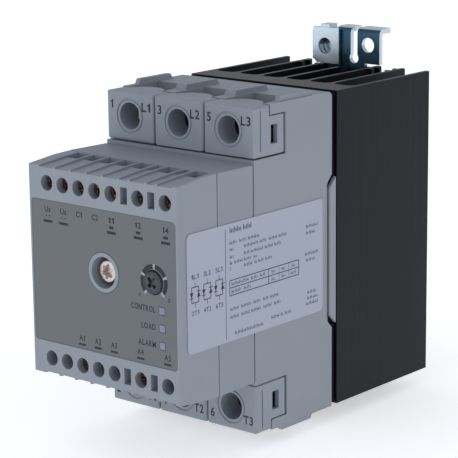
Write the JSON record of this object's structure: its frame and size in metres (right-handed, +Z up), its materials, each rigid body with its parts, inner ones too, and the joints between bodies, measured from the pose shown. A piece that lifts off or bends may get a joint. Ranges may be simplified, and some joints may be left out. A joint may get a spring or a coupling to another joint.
{
  "type": "solid state relay",
  "caption": "Three-pole solid-state relay for rail mounting, light grey housing with screw terminals, dark faceplate with trimmer and indicators, finned black heatsink behind.",
  "frame": {"origin": "middle of the rail seat, in the plane of the heatsink fin ends that rest on the rail", "axes": "+X to the right seen from the front, +Y from the front face towards the rail, +Z up"},
  "size_m": [0.0541, 0.1165, 0.1089],
  "materials": {
    "black_anodised_aluminium": "black anodised extrusion",
    "base_plate_aluminium": "dark anodised plate",
    "zinc_plated_steel": "bright blue-white zinc plate",
    "spring_steel": "drawn wire",
    "housing_moulding": "fine matt moulding",
    "cover_moulding": "fine matt moulding",
    "module_moulding": "fine matt moulding",
    "overlay_film": "satin printed film",
    "label_film": "satin printed film",
    "nickel_plated_steel": "nickel plate",
    "plated_brass": "plated",
    "tinned_copper": "tin plate",
    "black_nylon": "satin moulding",
    "block_moulding": "matt moulding",
    "circuit_board": "solder mask",
    "encapsulation": "matt moulding",
    "light_pipe_polymer": "clear polished"
  },
  "bodies": {
    "relay": {"base_plate": "base_plate_aluminium", "control_board": "circuit_board", "control_housing": "module_moulding", "earth_clip_nut": "zinc_plated_steel", "faceplate": "overlay_film", "fixing_screw": "nickel_plated_steel", "front_cover": "module_moulding", "heatsink": "black_anodised_aluminium", "latch_spring": "spring_steel", "light_pipe_1": "light_pipe_polymer", "light_pipe_2": "light_pipe_polymer", "light_pipe_3": "light_pipe_polymer", "lower_terminal_block": "block_moulding", "main_housing": "housing_moulding", "power_board": "circuit_board", "rail_plate": "zinc_plated_steel", "rating_label": "label_film", "retention_clip_left": "cover_moulding", "retention_clip_right": "cover_moulding", "terminal_cover_l1": "cover_moulding", "terminal_cover_l2": "cover_moulding", "terminal_cover_l3": "cover_moulding", "terminal_cover_t1": "cover_moulding", "terminal_cover_t2": "cover_moulding", "terminal_cover_t3": "cover_moulding", "terminal_frame_l1": "tinned_copper", "terminal_frame_l2": "tinned_copper", "terminal_frame_l3": "tinned_copper", "terminal_frame_t1": "tinned_copper", "terminal_frame_t2": "tinned_copper", "terminal_frame_t3": "tinned_copper", "thyristor_module_1": "encapsulation", "thyristor_module_2": "encapsulation", "thyristor_module_3": "encapsulation", "trimmer_body": "black_nylon", "upper_terminal_block": "block_moulding"},
    "pad_l1": {"pressure_pad_l1": "tinned_copper"},
    "screw_l1": {"terminal_screw_l1": "nickel_plated_steel"},
    "pad_l2": {"pressure_pad_l2": "tinned_copper"},
    "screw_l2": {"terminal_screw_l2": "nickel_plated_steel"},
    "pad_l3": {"pressure_pad_l3": "tinned_copper"},
    "screw_l3": {"terminal_screw_l3": "nickel_plated_steel"},
    "pad_t1": {"pressure_pad_t1": "tinned_copper"},
    "screw_t1": {"terminal_screw_t1": "nickel_plated_steel"},
    "pad_t2": {"pressure_pad_t2": "tinned_copper"},
    "screw_t2": {"terminal_screw_t2": "nickel_plated_steel"},
    "pad_t3": {"pressure_pad_t3": "tinned_copper"},
    "screw_t3": {"terminal_screw_t3": "nickel_plated_steel"},
    "upper_control_screw_1": {"upper_control_screw_1": "plated_brass"},
    "upper_control_screw_2": {"upper_control_screw_2": "plated_brass"},
    "upper_control_screw_3": {"upper_control_screw_3": "plated_brass"},
    "upper_control_screw_4": {"upper_control_screw_4": "plated_brass"},
    "upper_control_screw_5": {"upper_control_screw_5": "plated_brass"},
    "upper_control_screw_6": {"upper_control_screw_6": "plated_brass"},
    "upper_control_screw_7": {"upper_control_screw_7": "plated_brass"},
    "lower_control_screw_3": {"lower_control_screw_3": "plated_brass"},
    "lower_control_screw_6": {"lower_control_screw_6": "plated_brass"},
    "knob": {"trimmer_knob": "black_nylon"},
    "latch": {"rail_latch": "zinc_plated_steel"}
  },
  "joints": [
    {"name": "pad_slide_l1", "type": "slide", "parent": "relay", "child": "pad_l1", "axis": [0, 1, 0], "range_m": [0, 0.0042]},
    {"name": "screw_turn_l1", "type": "hinge", "parent": "relay", "child": "screw_l1", "pos_m": [-0.018, -0.0735, 0.0389], "axis": [0, -1, 0], "range_deg": [0, 2165]},
    {"name": "pad_slide_l2", "type": "slide", "parent": "relay", "child": "pad_l2", "axis": [0, 1, 0], "range_m": [0, 0.0042]},
    {"name": "screw_turn_l2", "type": "hinge", "parent": "relay", "child": "screw_l2", "pos_m": [0, -0.0735, 0.0389], "axis": [0, -1, 0], "range_deg": [0, 2165]},
    {"name": "pad_slide_l3", "type": "slide", "parent": "relay", "child": "pad_l3", "axis": [0, 1, 0], "range_m": [0, 0.0042]},
    {"name": "screw_turn_l3", "type": "hinge", "parent": "relay", "child": "screw_l3", "pos_m": [0.018, -0.0735, 0.0389], "axis": [0, -1, 0], "range_deg": [0, 2165]},
    {"name": "pad_slide_t1", "type": "slide", "parent": "relay", "child": "pad_t1", "axis": [0, 1, 0], "range_m": [0, 0.0042]},
    {"name": "screw_turn_t1", "type": "hinge", "parent": "relay", "child": "screw_t1", "pos_m": [-0.018, -0.0735, -0.0389], "axis": [0, -1, 0], "range_deg": [0, 2165]},
    {"name": "pad_slide_t2", "type": "slide", "parent": "relay", "child": "pad_t2", "axis": [0, 1, 0], "range_m": [0, 0.0042]},
    {"name": "screw_turn_t2", "type": "hinge", "parent": "relay", "child": "screw_t2", "pos_m": [0, -0.0735, -0.0389], "axis": [0, -1, 0], "range_deg": [0, 2165]},
    {"name": "pad_slide_t3", "type": "slide", "parent": "relay", "child": "pad_t3", "axis": [0, 1, 0], "range_m": [0, 0.0042]},
    {"name": "screw_turn_t3", "type": "hinge", "parent": "relay", "child": "screw_t3", "pos_m": [0.018, -0.0735, -0.0389], "axis": [0, -1, 0], "range_deg": [0, 2165]},
    {"name": "upper_control_turn_1", "type": "hinge", "parent": "relay", "child": "upper_control_screw_1", "pos_m": [-0.0202, -0.1111, 0.0247], "axis": [0, -1, 0], "range_deg": [0, 1440]},
    {"name": "upper_control_turn_2", "type": "hinge", "parent": "relay", "child": "upper_control_screw_2", "pos_m": [-0.01428, -0.1111, 0.0247], "axis": [0, -1, 0], "range_deg": [0, 1440]},
    {"name": "upper_control_turn_3", "type": "hinge", "parent": "relay", "child": "upper_control_screw_3", "pos_m": [-0.00836, -0.1111, 0.0247], "axis": [0, -1, 0], "range_deg": [0, 1440]},
    {"name": "upper_control_turn_4", "type": "hinge", "parent": "relay", "child": "upper_control_screw_4", "pos_m": [-0.00244, -0.1111, 0.0247], "axis": [0, -1, 0], "range_deg": [0, 1440]},
    {"name": "upper_control_turn_5", "type": "hinge", "parent": "relay", "child": "upper_control_screw_5", "pos_m": [0.00348, -0.1111, 0.0247], "axis": [0, -1, 0], "range_deg": [0, 1440]},
    {"name": "upper_control_turn_6", "type": "hinge", "parent": "relay", "child": "upper_control_screw_6", "pos_m": [0.01312, -0.1111, 0.0247], "axis": [0, -1, 0], "range_deg": [0, 1440]},
    {"name": "upper_control_turn_7", "type": "hinge", "parent": "relay", "child": "upper_control_screw_7", "pos_m": [0.02278, -0.1111, 0.0247], "axis": [0, -1, 0], "range_deg": [0, 1440]},
    {"name": "lower_control_turn_3", "type": "hinge", "parent": "relay", "child": "lower_control_screw_3", "pos_m": [-0.00836, -0.1111, -0.0247], "axis": [0, -1, 0], "range_deg": [0, 1440]},
    {"name": "lower_control_turn_6", "type": "hinge", "parent": "relay", "child": "lower_control_screw_6", "pos_m": [0.01312, -0.1111, -0.0247], "axis": [0, -1, 0], "range_deg": [0, 1440]},
    {"name": "trimmer_turn", "type": "hinge", "parent": "relay", "child": "knob", "pos_m": [0.0182, -0.11355, 0.0029], "axis": [0, -1, 0], "range_deg": [-135, 135]},
    {"name": "latch_slide", "type": "slide", "parent": "relay", "child": "latch", "axis": [0, 0, -1], "range_m": [0, 0.0035], "stiffness_N_per_m": 1500, "springref_m": -0.004, "deforming": ["latch_spring"]}
  ],
  "couplings": [
    {"joint": "screw_turn_l1", "follows": "pad_slide_l1", "rad_per_m": 8976},
    {"joint": "screw_turn_l2", "follows": "pad_slide_l2", "rad_per_m": 8976},
    {"joint": "screw_turn_l3", "follows": "pad_slide_l3", "rad_per_m": 8976},
    {"joint": "screw_turn_t1", "follows": "pad_slide_t1", "rad_per_m": 8976},
    {"joint": "screw_turn_t2", "follows": "pad_slide_t2", "rad_per_m": 8976},
    {"joint": "screw_turn_t3", "follows": "pad_slide_t3", "rad_per_m": 8976}
  ]
}
